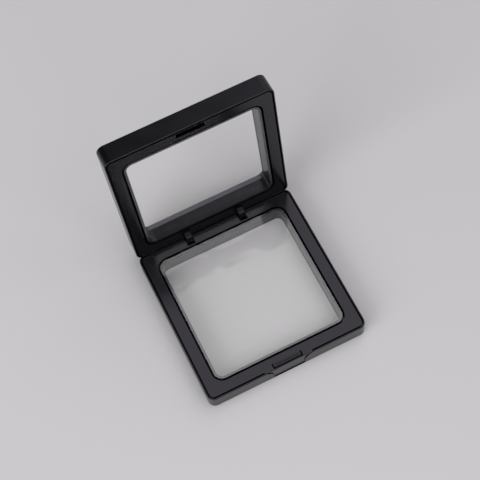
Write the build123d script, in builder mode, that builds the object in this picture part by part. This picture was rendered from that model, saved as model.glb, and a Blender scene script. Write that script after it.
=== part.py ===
"""Film display box: two hinged square frames, each holding a stretched clear film.

Millimetres, +Z up, +X right along the front edge, +Y to the hinge.
The box is drawn standing open, as it stands on a table with its lid on the stop.
The origin is on the table, under the middle of the open box's footprint.
"""
import math
import os

from build123d import *

# Outer sizes of the two halves
box_width = 90.0
base_depth = 10.5
lid_depth = 11.2
corner_radius = 4.0
outer_edge_fillet = 0.8
open_angle = 96.7

# Moulded shell
face_thickness = 1.5
wall_thickness = 1.8
rim_thickness = 0.6
rim_edge_fillet = 0.3
rim_groove_width = 0.7
rim_groove_depth = 1.2

# Window in each half
rail_width = 9.5
window_wall = 1.2
window_radius = 3.5
window_chamfer = 0.8

# Film clamp frame that closes each shell
flange_thickness = 1.3
rim_gap = 0.9
film_gap = 1.2
leg_thickness = 1.2
inner_leg_depth = 6.0
outer_leg_depth = 5.0
leg_clearance = 0.2
pinch_depth = 4.0
film_clearance = 0.05
film_seat_clearance = 0.03
mating_clearance = 0.1

# Clear film
film_thickness = 0.15
film_grip = 1.6

# Hinge: curved links that slide in arc grooves of both frames
hinge_inset = 0.9
bevel_clearance = 0.08
link_spacing = 31.2
link_width = 3.7
link_thickness = 1.4
link_chamfer = 0.35
link_half_angle = 72.0
lug_angle = 66.0
lug_radius = 0.5
lug_reach = 0.9
lug_clearance = 0.1
groove_end_angle = 90.0
slot_strip = 0.6
slot_clearance = 0.35
slot_front_clearance = 0.8
cheek_thickness = 1.7
cheek_foot = 0.8

# Front notch in the base shell and the skirt that shows in it
notch_width = 17.6
notch_flare_radius = 6.5
notch_floor = 0.8
skirt_recess = 0.4
skirt_gap = 0.9
skirt_clearance = 0.15
skirt_edge_fillet = 0.3

# Latch: spring tongue in the base frame, pocket in the lid frame
tongue_width = 15.2
tongue_length = 2.2
tongue_slot = 0.8
tongue_front = 1.7
bead_inset = 1.0
bead_height = 0.7
bead_thickness = 0.9
bead_setback = 0.8
bead_fillet = 0.3
pocket_length = 2.9
pocket_clearance = 0.3
pocket_side_clearance = 1.0

# Snap noses that hold each frame in its shell
snap_spacing = 52.0
snap_length = 7.0
snap_height = 0.9
snap_reach = 0.35
snap_drop = 3.6
snap_clearance = 0.15

# Worked-out places
half_width = box_width / 2
window_half = half_width - rail_width
hinge_from_centre = half_width - hinge_inset
wall_inside = half_width - wall_thickness
rim_inside = half_width - rim_thickness
seat_outside = rim_inside - rim_groove_width
window_wall_outside = window_half + window_wall
flange_outside = rim_inside - rim_gap
flange_inside = window_wall_outside + film_gap
film_half = window_wall_outside + film_thickness
film_fold = pinch_depth + film_grip
leg_outside = wall_inside - leg_clearance
ledge_depth = mating_clearance + flange_thickness
skirt_face = half_width - skirt_recess
half_opening = open_angle / 2
slot_width = link_width + 2 * slot_clearance
slot_front = flange_inside + slot_strip
link_outside = hinge_from_centre - slot_front - slot_front_clearance
link_radius = link_outside - link_thickness / 2
link_places = (-link_spacing / 2, link_spacing / 2)
cheek_depth = link_outside + cheek_foot
groove_half = lug_radius + lug_clearance
bead_width = tongue_width - 2 * bead_inset
pocket_width = bead_width + 2 * pocket_side_clearance

# The open lid reaches furthest back at the rounded far edge of its outer face
alpha = math.radians(open_angle)
fold_back = -(hinge_from_centre + half_width - outer_edge_fillet) * math.cos(alpha)
lid_back = (
    hinge_from_centre
    + fold_back
    + (lid_depth - outer_edge_fillet) * math.sin(alpha)
    + outer_edge_fillet
)
base_centre_y = (half_width - lid_back) / 2
hinge_y = base_centre_y + hinge_from_centre
hinge_point = (0, hinge_y, base_depth)

# Each half is drawn from its mating plane: local +Z leaves the half, local +Y runs to the hinge
base_face = Plane(origin=(0, base_centre_y, base_depth), x_dir=(1, 0, 0), z_dir=(0, 0, 1))
lid_up = Vector(0, -math.cos(alpha), math.sin(alpha))
lid_face = Plane(
    origin=Vector(*hinge_point) + lid_up * hinge_from_centre,
    x_dir=(-1, 0, 0),
    z_dir=(0, -math.sin(alpha), -math.cos(alpha)),
)


def outer_corner(half):
    """Corner radius of an outline that runs parallel to the outer wall."""
    return corner_radius - (half_width - half)


def window_corner(half):
    """Corner radius of an outline that runs parallel to the window."""
    return window_radius + (half - window_half)


def square(half, radius, mode=Mode.ADD):
    RectangleRounded(2 * half, 2 * half, radius, mode=mode)


def ring(outside, outside_radius, inside, inside_radius):
    square(outside, outside_radius)
    square(inside, inside_radius, mode=Mode.SUBTRACT)


def front_plane(face, inset):
    """Plane parallel to the front wall, with its local +Y up the wall."""
    return Plane(
        origin=face.origin - face.y_dir * (half_width - inset),
        x_dir=face.x_dir,
        z_dir=face.y_dir * -1,
    )


def hinge_section(face, along=0):
    """Plane square to the hinge line, with local +X to the front and local +Y leaving the half."""
    return Plane(
        origin=face.origin + face.y_dir * hinge_from_centre + face.x_dir * along,
        x_dir=face.y_dir * -1,
        z_dir=face.x_dir * -1,
    )


def notch_profile(clearance, bottom, top):
    """Front notch as seen from the front: straight sides that flare out towards the rim."""
    side = notch_width / 2 - clearance
    flare_centre = notch_width / 2 + notch_flare_radius
    flare = notch_flare_radius + clearance
    rise = notch_flare_radius + top
    flare_sweep = math.degrees(math.asin(rise / flare))
    with BuildLine() as outline:
        Polyline((0, top), (0, bottom), (side, bottom), (side, -notch_flare_radius))
        lip = CenterArc((flare_centre, -notch_flare_radius), flare, 180, -flare_sweep)
        Line(lip @ 1, (0, top))
    make_face(outline.edges())
    mirror(about=Plane.YZ)


def snap_places(distance):
    """Two places on the left side and two on the right, at a distance from the centre."""
    return Locations(
        [
            (side * distance, along * snap_spacing / 2)
            for side in (-1, 1)
            for along in (-1, 1)
        ]
    )


def shell(face, depth, has_notch):
    """Moulded shell: outer face with its window, outer wall, window wall and rebated rim."""
    with BuildPart() as body:
        with BuildSketch(face.offset(-depth)):
            ring(half_width, corner_radius, window_half, window_radius)
        extrude(amount=face_thickness)
        with BuildSketch(face.offset(-depth)):
            ring(half_width, corner_radius, wall_inside, outer_corner(wall_inside))
        extrude(amount=depth - ledge_depth)
        with BuildSketch(face.offset(-ledge_depth)):
            ring(half_width, corner_radius, rim_inside, outer_corner(rim_inside))
        extrude(amount=flange_thickness)

        # Groove outside the narrow seat that carries the clamp frame
        with BuildSketch(face.offset(-ledge_depth)):
            ring(rim_inside, outer_corner(rim_inside), seat_outside, outer_corner(seat_outside))
        extrude(amount=-rim_groove_depth, mode=Mode.SUBTRACT)

        with BuildSketch(face.offset(-depth)):
            ring(
                window_wall_outside, window_corner(window_wall_outside),
                window_half, window_radius,
            )
        extrude(amount=depth - mating_clearance - film_thickness - film_seat_clearance)

        through = Axis(face.origin, face.z_dir)
        fillet(body.faces().sort_by(through)[0].outer_wire().edges(), outer_edge_fillet)
        chamfer(body.faces().sort_by(through)[0].inner_wires()[0].edges(), window_chamfer)
        fillet(body.faces().sort_by(through)[-1].outer_wire().edges(), rim_edge_fillet)

        # Bevel along the hinge side, where the two halves meet when the lid is fully open
        slope = math.tan(math.radians(half_opening))
        bevel_start = bevel_clearance / math.cos(math.radians(half_opening))
        bevel_run = 2 * hinge_inset
        with BuildSketch(hinge_section(face)):
            Polygon(
                (0, 0),
                (0, -bevel_start),
                (-bevel_run, -bevel_start - bevel_run * slope),
                (-bevel_run, 0),
                align=None,
            )
        extrude(amount=box_width, both=True, mode=Mode.SUBTRACT)

        if has_notch:
            with BuildSketch(front_plane(face, 0)):
                notch_profile(0, notch_floor - depth, 0)
            extrude(amount=-wall_thickness, mode=Mode.SUBTRACT)

        # Pockets in the side walls for the snap noses
        with BuildSketch(face.offset(-snap_drop + snap_clearance)):
            with snap_places(wall_inside + snap_reach / 2):
                Rectangle(snap_reach + 2 * snap_clearance, snap_length + 2 * snap_clearance)
        extrude(amount=-snap_height - 2 * snap_clearance, mode=Mode.SUBTRACT)
    return body


def add_legs(face):
    """Legs under the flange: the inner one's lip pinches the film, the outer one has the snap noses."""
    with BuildSketch(face.offset(-mating_clearance - inner_leg_depth)) as inner_leg:
        ring(
            flange_inside + leg_thickness, window_corner(flange_inside + leg_thickness),
            flange_inside, window_corner(flange_inside),
        )
    extrude(inner_leg.sketch, amount=inner_leg_depth)
    with BuildSketch(face.offset(-mating_clearance - inner_leg_depth)) as pinch_lip:
        ring(
            flange_inside, window_corner(flange_inside),
            film_half + film_clearance, window_corner(film_half + film_clearance),
        )
    extrude(pinch_lip.sketch, amount=inner_leg_depth - pinch_depth)
    with BuildSketch(face.offset(-mating_clearance - outer_leg_depth)) as outer_leg:
        ring(
            leg_outside, outer_corner(leg_outside),
            leg_outside - leg_thickness, outer_corner(leg_outside - leg_thickness),
        )
    extrude(outer_leg.sketch, amount=outer_leg_depth)
    with BuildSketch(face.offset(-snap_drop)) as noses:
        with snap_places(leg_outside + (snap_reach + leg_clearance) / 2):
            Rectangle(snap_reach + leg_clearance, snap_length)
    extrude(noses.sketch, amount=-snap_height)


def add_skirt(face, depth, frame):
    """Skirt at the front edge that fills the notch in the shell."""
    with BuildSketch(front_plane(face, skirt_recess)) as skirt:
        notch_profile(skirt_clearance, notch_floor + skirt_gap - depth, -mating_clearance)
    extrude(skirt.sketch, amount=leg_outside - skirt_face)
    top_edge = (
        frame.edges()
        .filter_by(Axis.X)
        .group_by(Axis(face.origin, face.y_dir))[0]
        .sort_by(Axis(face.origin, face.z_dir))[-1]
    )
    fillet(top_edge, skirt_edge_fillet)


def add_hinge_blocks(face):
    """Block for each link: a slot for the link, and arc grooves in its cheeks for the lugs."""
    block_front = flange_inside + leg_thickness / 2
    with BuildSketch(face.offset(-mating_clearance - cheek_depth)) as blocks:
        with Locations([(x, (block_front + leg_outside) / 2) for x in link_places]):
            Rectangle(slot_width + 2 * cheek_thickness, leg_outside - block_front)
    extrude(blocks.sketch, amount=cheek_depth)
    with BuildSketch(face) as slots:
        with Locations([(x, (slot_front + half_width) / 2) for x in link_places]):
            Rectangle(slot_width, half_width - slot_front)
    slot_depth = mating_clearance + max(cheek_depth, inner_leg_depth)
    extrude(slots.sketch, amount=-slot_depth, mode=Mode.SUBTRACT)
    groove_start = half_opening - lug_angle
    for place in link_places:
        with BuildSketch(hinge_section(face, place)) as groove:
            with BuildLine() as track:
                CenterArc((0, 0), link_radius, groove_start, -groove_end_angle - groove_start)
            trace(track.line, line_width=2 * groove_half)
            with Locations(track.line @ 0):
                Circle(groove_half)
        extrude(
            groove.sketch,
            amount=link_width / 2 + lug_reach + slot_clearance,
            both=True,
            mode=Mode.SUBTRACT,
        )


def cut_tongue(face, frame):
    """Spring tongue: a slot on three sides, room to bend below, and a bead on top."""
    tongue_end = tongue_front - half_width
    cut_width = tongue_width + 2 * tongue_slot
    cut_length = tongue_length + tongue_slot
    with BuildSketch(face) as slot:
        with Locations((0, tongue_end + tongue_length)):
            Rectangle(cut_width, cut_length, align=(Align.CENTER, Align.MAX))
            Rectangle(
                tongue_width, tongue_length,
                align=(Align.CENTER, Align.MAX), mode=Mode.SUBTRACT,
            )
    extrude(slot.sketch, amount=-ledge_depth, mode=Mode.SUBTRACT)
    with BuildSketch(face.offset(-ledge_depth)) as room:
        with Locations((0, tongue_end + tongue_length)):
            Rectangle(cut_width, cut_length, align=(Align.CENTER, Align.MAX))
    extrude(room.sketch, amount=-outer_leg_depth, mode=Mode.SUBTRACT)
    with BuildSketch(face.offset(-mating_clearance)) as bead:
        with Locations((0, tongue_end + bead_setback)):
            Rectangle(bead_width, bead_thickness, align=(Align.CENTER, Align.MIN))
    extrude(bead.sketch, amount=bead_height)
    top = frame.faces().sort_by(Axis(face.origin, face.z_dir))[-1]
    fillet(top.edges(), bead_fillet)


def cut_pocket(face):
    """Pocket that takes the bead of the tongue when the box is closed."""
    pocket_front = tongue_front - half_width + pocket_clearance
    with BuildSketch(face) as pocket:
        with Locations((0, pocket_front)):
            Rectangle(pocket_width, pocket_length, align=(Align.CENTER, Align.MIN))
    extrude(pocket.sketch, amount=-outer_leg_depth - mating_clearance, mode=Mode.SUBTRACT)


def clamp_frame(face, depth, in_base):
    """Flat frame that closes the shell, pinches the film and carries the hinge and the latch."""
    with BuildPart() as frame:
        with BuildSketch(face.offset(-ledge_depth)):
            ring(
                flange_outside, outer_corner(flange_outside),
                flange_inside, window_corner(flange_inside),
            )
        extrude(amount=flange_thickness)
        add_legs(face)
        add_hinge_blocks(face)
        if in_base:
            add_skirt(face, depth, frame)
            cut_tongue(face, frame)
        else:
            cut_pocket(face)
    return frame


def film(face):
    """Clear film stretched over the window wall, with its edge folded down outside the wall."""
    with BuildPart() as sheet:
        with BuildSketch(face.offset(-mating_clearance)):
            square(film_half, window_corner(film_half))
        extrude(amount=-film_thickness)
        with BuildSketch(face.offset(-mating_clearance)):
            ring(
                film_half, window_corner(film_half),
                window_wall_outside, window_corner(window_wall_outside),
            )
        extrude(amount=-film_fold)
    return sheet


def hinge_link(place):
    """Curved link, its middle half way between the two mating planes, with a lug at each corner."""
    section = hinge_section(base_face, place)
    with BuildPart() as link:
        with BuildSketch(section):
            with BuildLine() as curve:
                CenterArc((0, 0), link_radius, half_opening - link_half_angle, 2 * link_half_angle)
            trace(curve.line, line_width=link_thickness)
        extrude(amount=link_width / 2, both=True)
        chamfer(link.edges().filter_by(GeomType.CIRCLE), link_chamfer)
        with BuildSketch(section):
            with PolarLocations(link_radius, 2, half_opening - lug_angle, 2 * lug_angle, endpoint=True):
                Circle(lug_radius)
        extrude(amount=link_width / 2 + lug_reach, both=True)
    return link


base_shell = shell(base_face, base_depth, has_notch=True)
lid_shell = shell(lid_face, lid_depth, has_notch=False)
base_clamp_frame = clamp_frame(base_face, base_depth, in_base=True)
lid_clamp_frame = clamp_frame(lid_face, lid_depth, in_base=False)
base_film = film(base_face)
lid_film = film(lid_face)
left_hinge_link = hinge_link(link_places[0])
right_hinge_link = hinge_link(link_places[1])

base_shell.part.label = "base_shell"
lid_shell.part.label = "lid_shell"
base_clamp_frame.part.label = "base_clamp_frame"
lid_clamp_frame.part.label = "lid_clamp_frame"
base_film.part.label = "base_film"
lid_film.part.label = "lid_film"
left_hinge_link.part.label = "left_hinge_link"
right_hinge_link.part.label = "right_hinge_link"

os.makedirs("parts", exist_ok=True)
for piece in (
    base_shell, lid_shell,
    base_clamp_frame, lid_clamp_frame,
    base_film, lid_film,
    left_hinge_link, right_hinge_link,
):
    export_step(piece.part, f"parts/{piece.part.label}.step")
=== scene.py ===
"""Looks of the film display box: moulded black plastics, clear film, pale studio floor and camera.

Metres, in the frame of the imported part: +X right along the front edge, +Y to the hinge, +Z up.
Names that end in _mm or _MM, and the limits of a part of a piece, are in millimetres.
"""
import math

import bmesh
import bpy
from mathutils import Euler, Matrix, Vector

MM = 0.001

# The line on which the lid turns, and its distance from the centre of each half
HINGE = (0, 0.0338345, 0.0105)
HINGE_TO_CENTRE = 0.0441
LID_OPEN = math.radians(96.7)

# Each half of the box at rest: the way from the hinge to its free edge, and from its open side into its depth
BASE_HALF = {"reach": (0, -1, 0), "depth": (0, 0, -1), "thickness_mm": 10.5}
LID_HALF = {
    "reach": (0, -math.cos(LID_OPEN), math.sin(LID_OPEN)),
    "depth": (0, math.sin(LID_OPEN), math.cos(LID_OPEN)),
    "thickness_mm": 11.2,
}

# Parts of a piece that look different, by the lengths that lengths_in_half gives
SHELL_GAP = {"out": (43.4, 44.42), "along": (0, 43), "depth": (1.3, 2.9)}
FRAME_GAP = {"out": (36.8, 37.95), "depth": (3.5, 5.1)}
WINDOW_WALL_TOP = {"out": (30, 36.75), "depth": (0, 0.4)}
WINDOW_SIDES = {"out": (30, 36)}

# The painted reflection on the window's wall top, a greyish band for the film's sheen over the rim, fades in
# between these distances from the hinge
RIM_REFLECTION_FADE_MM = (9, 22)
# The face plate's edge round the window: its height, and the draft that lets it leave the mould
FACE_EDGE_MM = 3.4
FACE_EDGE_DRAFT = math.radians(12)

FLOW_MARK_MM = 14
FILM_RIPPLE_MM = 22
FILM_HAZE = 0.004
# Black plastic shines with a faint violet cast
GLOSS_TINT = (0.90, 0.85, 1.0, 1.0)
# Painted shade: the specular level on the floors of the gaps between parts, so low that the crevices render
# dark
GAP_SHADE_SPECULAR = 0.05
POLISHED_SPECULAR = 1.0

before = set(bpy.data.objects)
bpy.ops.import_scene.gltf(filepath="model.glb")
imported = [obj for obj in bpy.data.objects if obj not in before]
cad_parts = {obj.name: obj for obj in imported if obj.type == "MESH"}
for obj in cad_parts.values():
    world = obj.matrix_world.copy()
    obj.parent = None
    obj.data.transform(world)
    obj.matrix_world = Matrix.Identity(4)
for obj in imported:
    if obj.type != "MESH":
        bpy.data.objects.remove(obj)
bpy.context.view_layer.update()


def linear(colour):
    """Linear RGBA of an sRGB hex colour."""
    channels = [int(colour[i:i + 2], 16) / 255 for i in (1, 3, 5)]
    return [c / 12.92 if c <= 0.04045 else ((c + 0.055) / 1.055) ** 2.4 for c in channels] + [1.0]


def add(tree, kind, inputs, **settings):
    """A node with its settings, and with each input linked to a socket or set to a plain value."""
    node = tree.nodes.new(kind)
    for name, value in settings.items():
        setattr(node, name, value)
    for name, value in inputs.items():
        if isinstance(value, bpy.types.NodeSocket):
            tree.links.new(value, node.inputs[name])
        else:
            node.inputs[name].default_value = value
    return node


def new_material(name):
    material = bpy.data.materials.new(name)
    material.use_nodes = True
    material.node_tree.nodes.clear()
    return material, material.node_tree


def per_metre(size_mm):
    """Noise scale for features of a size in millimetres, on Object coordinates in metres."""
    return 1 / (size_mm * MM)


def lengths_in_half(tree, place, half):
    """Where a point lies in a half of the box, in metres.

    reach runs from the hinge, and depth from the half's open side. out is how far out the point lies
    from the half's centre, and along is how far along that side, from the side's middle.
    """
    offset = add(tree, "ShaderNodeVectorMath", {0: place, 1: HINGE}, operation="SUBTRACT").outputs["Vector"]
    reach, depth = (
        add(tree, "ShaderNodeVectorMath", {0: offset, 1: half[way]}, operation="DOT_PRODUCT").outputs["Value"]
        for way in ("reach", "depth")
    )
    across = add(tree, "ShaderNodeSeparateXYZ", {"Vector": place}).outputs["X"]
    onward = add(tree, "ShaderNodeMath", {0: reach, 1: HINGE_TO_CENTRE}, operation="SUBTRACT").outputs["Value"]
    first, second = (
        add(tree, "ShaderNodeMath", {0: length}, operation="ABSOLUTE").outputs["Value"]
        for length in (across, onward)
    )
    out, along = (
        add(tree, "ShaderNodeMath", {0: first, 1: second}, operation=choice).outputs["Value"]
        for choice in ("MAXIMUM", "MINIMUM")
    )
    return {"reach": reach, "depth": depth, "out": out, "along": along}


def share_within(tree, lengths, limits):
    """1 where every length lies within its limits, and 0 elsewhere."""
    share = 1.0
    for name, (low, high) in limits.items():
        middle, spread = (low + high) / 2 * MM, (high - low) / 2 * MM
        near = add(tree, "ShaderNodeMath", {0: lengths[name], 1: middle, 2: spread}, operation="COMPARE")
        both = add(tree, "ShaderNodeMath", {0: share, 1: near.outputs["Value"]}, operation="MULTIPLY")
        share = both.outputs["Value"]
    return share


def share_climbing(tree, share, length, start_mm, end_mm):
    """A share times one that climbs from 0 to 1 between two values of a length."""
    climb = add(
        tree, "ShaderNodeMapRange", {"Value": length, "From Min": start_mm * MM, "From Max": end_mm * MM}
    )
    both = add(tree, "ShaderNodeMath", {0: share, 1: climb.outputs["Result"]}, operation="MULTIPLY")
    return both.outputs["Value"]


def moulded_plastic(
    name, dark, light, roughness, roughness_spread, grain_mm, grain_depth_mm,
    specular=0.5, half=None, gap=None, window=False,
):
    """Black moulded plastic: an eroded grain, and slow flow marks in its tone and gloss.

    The floor of a gap gets painted shade: its specular level drops almost to nothing, so the crevice
    renders dark. A window has a painted reflection, a greyish band on its wall top under the film that
    stands in for the film's sheen over the rim, and the polished, drafted edge of its face plate.
    """
    material, tree = new_material(name)
    place = add(tree, "ShaderNodeTexCoord", {}).outputs["Object"]
    flow = add(
        tree, "ShaderNodeTexNoise",
        {"Vector": place, "Scale": per_metre(FLOW_MARK_MM), "Detail": 3.0, "Roughness": 0.55},
    ).outputs["Fac"]
    grain = add(
        tree, "ShaderNodeTexNoise",
        {"Vector": place, "Scale": per_metre(grain_mm), "Detail": 2.0, "Roughness": 0.6},
    )
    tone = add(tree, "ShaderNodeMix", {"Factor": flow, "A": linear(dark), "B": linear(light)}, data_type="RGBA")
    gloss = add(
        tree, "ShaderNodeMapRange",
        {
            "Value": flow, "From Min": 0.3, "From Max": 0.7,
            "To Min": roughness - roughness_spread, "To Max": roughness + roughness_spread,
        },
    )
    relief = add(
        tree, "ShaderNodeBump",
        {"Height": grain.outputs["Fac"], "Strength": 0.6, "Distance": grain_depth_mm * MM},
    )
    surface = add(
        tree, "ShaderNodeBsdfPrincipled",
        {
            "Base Color": tone.outputs["Result"], "Roughness": gloss.outputs["Result"],
            "Normal": relief.outputs["Normal"], "IOR": 1.5, "Specular IOR Level": specular,
            "Specular Tint": GLOSS_TINT,
        },
    )
    add(tree, "ShaderNodeOutputMaterial", {"Surface": surface.outputs["BSDF"]})
    if not half:
        return material

    lengths = lengths_in_half(tree, place, half)
    # Painted shade: the gap floors lose almost all their specular level, which darkens the crevices between
    # parts
    specular_with_gap_shade = add(
        tree, "ShaderNodeMapRange",
        {"Value": share_within(tree, lengths, gap), "To Min": specular, "To Max": GAP_SHADE_SPECULAR},
    )
    if window:
        # Painted reflection: the wall top under the film is tinted grey to stand in for the film's sheen over
        # the rim, faded out near the hinge
        wall_top = share_within(tree, lengths, WINDOW_WALL_TOP)
        rim_reflection_share = share_climbing(tree, wall_top, lengths["reach"], *RIM_REFLECTION_FADE_MM)
        rim_reflected_tone = add(
            tree, "ShaderNodeMix",
            {"Factor": rim_reflection_share, "A": tone.outputs["Result"], "B": linear("#4A494C")}, data_type="RGBA",
        )
        tree.links.new(rim_reflected_tone.outputs["Result"], surface.inputs["Base Color"])

        sides = share_within(tree, lengths, WINDOW_SIDES)
        outer_face = half["thickness_mm"]
        edge = share_climbing(tree, sides, lengths["depth"], outer_face - FACE_EDGE_MM, outer_face)
        draft = add(
            tree, "ShaderNodeBump",
            {"Height": edge, "Strength": 1.0, "Distance": FACE_EDGE_MM * MM * math.tan(FACE_EDGE_DRAFT)},
        )
        tree.links.new(draft.outputs["Normal"], relief.inputs["Normal"])
        # The polish is full from just above the edge's foot
        specular_with_gap_shade = add(
            tree, "ShaderNodeMapRange",
            {"Value": edge, "From Max": 0.05, "To Min": specular_with_gap_shade.outputs["Result"], "To Max": POLISHED_SPECULAR},
        )
    tree.links.new(specular_with_gap_shade.outputs["Result"], surface.inputs["Specular IOR Level"])
    return material


def clear_film(name, tint, mirror_facing, mirror_grazing, ripple_depth_mm):
    """Clear stretched film: see-through, with a rippled skin that mirrors more at a grazing angle."""
    material, tree = new_material(name)
    place = add(tree, "ShaderNodeTexCoord", {}).outputs["Object"]
    ripple = add(
        tree, "ShaderNodeTexNoise",
        {"Vector": place, "Scale": per_metre(FILM_RIPPLE_MM), "Detail": 2.0, "Roughness": 0.5},
    )
    relief = add(
        tree, "ShaderNodeBump",
        {"Height": ripple.outputs["Fac"], "Strength": 0.5, "Distance": ripple_depth_mm * MM},
    )
    clear = add(tree, "ShaderNodeBsdfTransparent", {"Color": linear(tint)})
    haze = add(tree, "ShaderNodeBsdfDiffuse", {"Color": linear("#C8C8CC")})
    body = add(tree, "ShaderNodeMixShader", {0: FILM_HAZE, 1: clear.outputs["BSDF"], 2: haze.outputs["BSDF"]})
    skin = add(
        tree, "ShaderNodeBsdfGlossy",
        {"Color": linear("#FFFFFF"), "Roughness": 0.08, "Normal": relief.outputs["Normal"]},
    )
    # As on any clear sheet, the mirrored share grows with the fifth power of the turn away from the eye
    facing = add(tree, "ShaderNodeLayerWeight", {"Blend": 0.5})
    grazing = add(tree, "ShaderNodeMath", {0: facing.outputs["Facing"], 1: 5.0}, operation="POWER")
    mirror = add(
        tree, "ShaderNodeMapRange",
        {"Value": grazing.outputs["Value"], "To Min": mirror_facing, "To Max": mirror_grazing},
    )
    surface = add(
        tree, "ShaderNodeMixShader",
        {0: mirror.outputs["Result"], 1: body.outputs["Shader"], 2: skin.outputs["BSDF"]},
    )
    add(tree, "ShaderNodeOutputMaterial", {"Surface": surface.outputs["Shader"]})
    return material


# ABS from a fine spark-eroded mould: near black, and seen mostly by its satin gloss
shell_finish = {
    "dark": "#060608", "light": "#0A0A0C", "roughness": 0.22, "roughness_spread": 0.04,
    "grain_mm": 0.5, "grain_depth_mm": 0.01, "gap": SHELL_GAP, "window": True,
}
# ABS from a coarser tool: a deeper black, whose grain breaks up its gloss
frame_finish = {
    "dark": "#030304", "light": "#060607", "roughness": 0.19, "roughness_spread": 0.03,
    "grain_mm": 0.6, "grain_depth_mm": 0.02, "gap": FRAME_GAP,
}
# Acetal from a polished mould: smooth and almost black, with small highlights
link_plastic = moulded_plastic(
    "link_acetal_polished", dark="#040405", light="#060607", roughness=0.12, roughness_spread=0.03,
    grain_mm=1.2, grain_depth_mm=0.004, specular=0.2,
)
# Polyurethane film, stretched and slightly wavy: the base's mirrors the lid, and the lid's is almost unseen
base_film = clear_film(
    "base_film_stretched", tint="#FCFCFC", mirror_facing=0.042, mirror_grazing=0.6, ripple_depth_mm=1.0
)
lid_film = clear_film(
    "lid_film_stretched", tint="#FFFFFF", mirror_facing=0.002, mirror_grazing=0.15, ripple_depth_mm=0.4
)

finishes = {
    "base_shell": moulded_plastic("base_shell_abs_moulded", half=BASE_HALF, **shell_finish),
    "lid_shell": moulded_plastic("lid_shell_abs_moulded", half=LID_HALF, **shell_finish),
    "base_clamp_frame": moulded_plastic("base_frame_abs_satin", half=BASE_HALF, **frame_finish),
    "lid_clamp_frame": moulded_plastic("lid_frame_abs_satin", half=LID_HALF, **frame_finish),
    "base_film": base_film,
    "lid_film": lid_film,
    "left_hinge_link": link_plastic,
    "right_hinge_link": link_plastic,
}
for node, material in finishes.items():
    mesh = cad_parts[node].data
    mesh.materials.clear()
    mesh.materials.append(material)


def studio_floor():
    """Plain matte pale grey paper under the box."""
    shape = bmesh.new()
    bmesh.ops.create_grid(shape, x_segments=1, y_segments=1, size=4.0)
    mesh = bpy.data.meshes.new("studio_floor")
    shape.to_mesh(mesh)
    shape.free()
    floor = bpy.data.objects.new("studio_floor", mesh)
    bpy.context.scene.collection.objects.link(floor)
    material, tree = new_material("studio_paper_matte")
    surface = add(tree, "ShaderNodeBsdfDiffuse", {"Color": linear("#CDCBCD")})
    add(tree, "ShaderNodeOutputMaterial", {"Surface": surface.outputs["BSDF"]})
    mesh.materials.append(material)


def studio_air():
    """Soft light from all round: brightest overhead, and dark behind and in front for the gloss to mirror."""
    world = bpy.data.worlds.new("studio_air")
    bpy.context.scene.world = world
    world.use_nodes = True
    tree = world.node_tree
    tree.nodes.clear()
    way = add(tree, "ShaderNodeTexCoord", {}).outputs["Generated"]
    level = 0.5
    # Round patches: the way to the middle, the angles at which a patch stops being full and has faded
    # out, and its level
    for middle, full, faded, patch_level in (
        ((0.10, -0.05, 1.0), 24, 60, 1.3),
        ((-0.35, 0.80, 0.50), 27, 42, 0.06),
        ((0.10, -0.75, 0.60), 25, 45, 0.12),
    ):
        nearness = add(
            tree, "ShaderNodeVectorMath", {0: way, 1: Vector(middle).normalized()}, operation="DOT_PRODUCT"
        )
        share = add(
            tree, "ShaderNodeMapRange",
            {
                "Value": nearness.outputs["Value"],
                "From Min": math.cos(math.radians(faded)), "From Max": math.cos(math.radians(full)),
            },
            interpolation_type="SMOOTHSTEP",
        )
        patched = add(
            tree, "ShaderNodeMix",
            {"Factor": share.outputs["Result"], "A": level, "B": patch_level}, data_type="FLOAT",
        )
        level = patched.outputs["Result"]
    light = add(tree, "ShaderNodeBackground", {"Color": linear("#FFFFFF"), "Strength": level})
    add(tree, "ShaderNodeOutputWorld", {"Surface": light.outputs["Background"]})


def softbox(name, place, power):
    """Square lamp, a metre wide, that faces the middle of the box."""
    lamp = bpy.data.lights.new(name, "AREA")
    lamp.shape = "SQUARE"
    lamp.size = 1.0
    lamp.energy = power
    holder = bpy.data.objects.new(name, lamp)
    bpy.context.scene.collection.objects.link(holder)
    holder.location = place
    holder.rotation_mode = "QUATERNION"
    holder.rotation_quaternion = (Vector((0, 0, 0.03)) - Vector(place)).to_track_quat("-Z", "Y")


studio_floor()
studio_air()
softbox("left_softbox", (-1.25, -0.45, 0.8), 10.0)
softbox("front_softbox", (0.25, -1.0, 1.1), 5.0)

# Looks down on the open box from the front left, as in the photo
camera_data = bpy.data.cameras.new("camera")
camera_data.lens = 91.13
camera_data.sensor_width = 36.0
camera_data.clip_start = 0.01
camera_data.clip_end = 20.0
camera = bpy.data.objects.new("camera", camera_data)
bpy.context.scene.collection.objects.link(camera)
camera.location = (-0.078902, -0.240090, 0.598414)
camera.rotation_euler = Euler([math.radians(turn) for turn in (24.66298, 3.51124, -26.20677)], "XYZ")
bpy.context.scene.camera = camera

bpy.context.scene.view_settings.view_transform = "Standard"
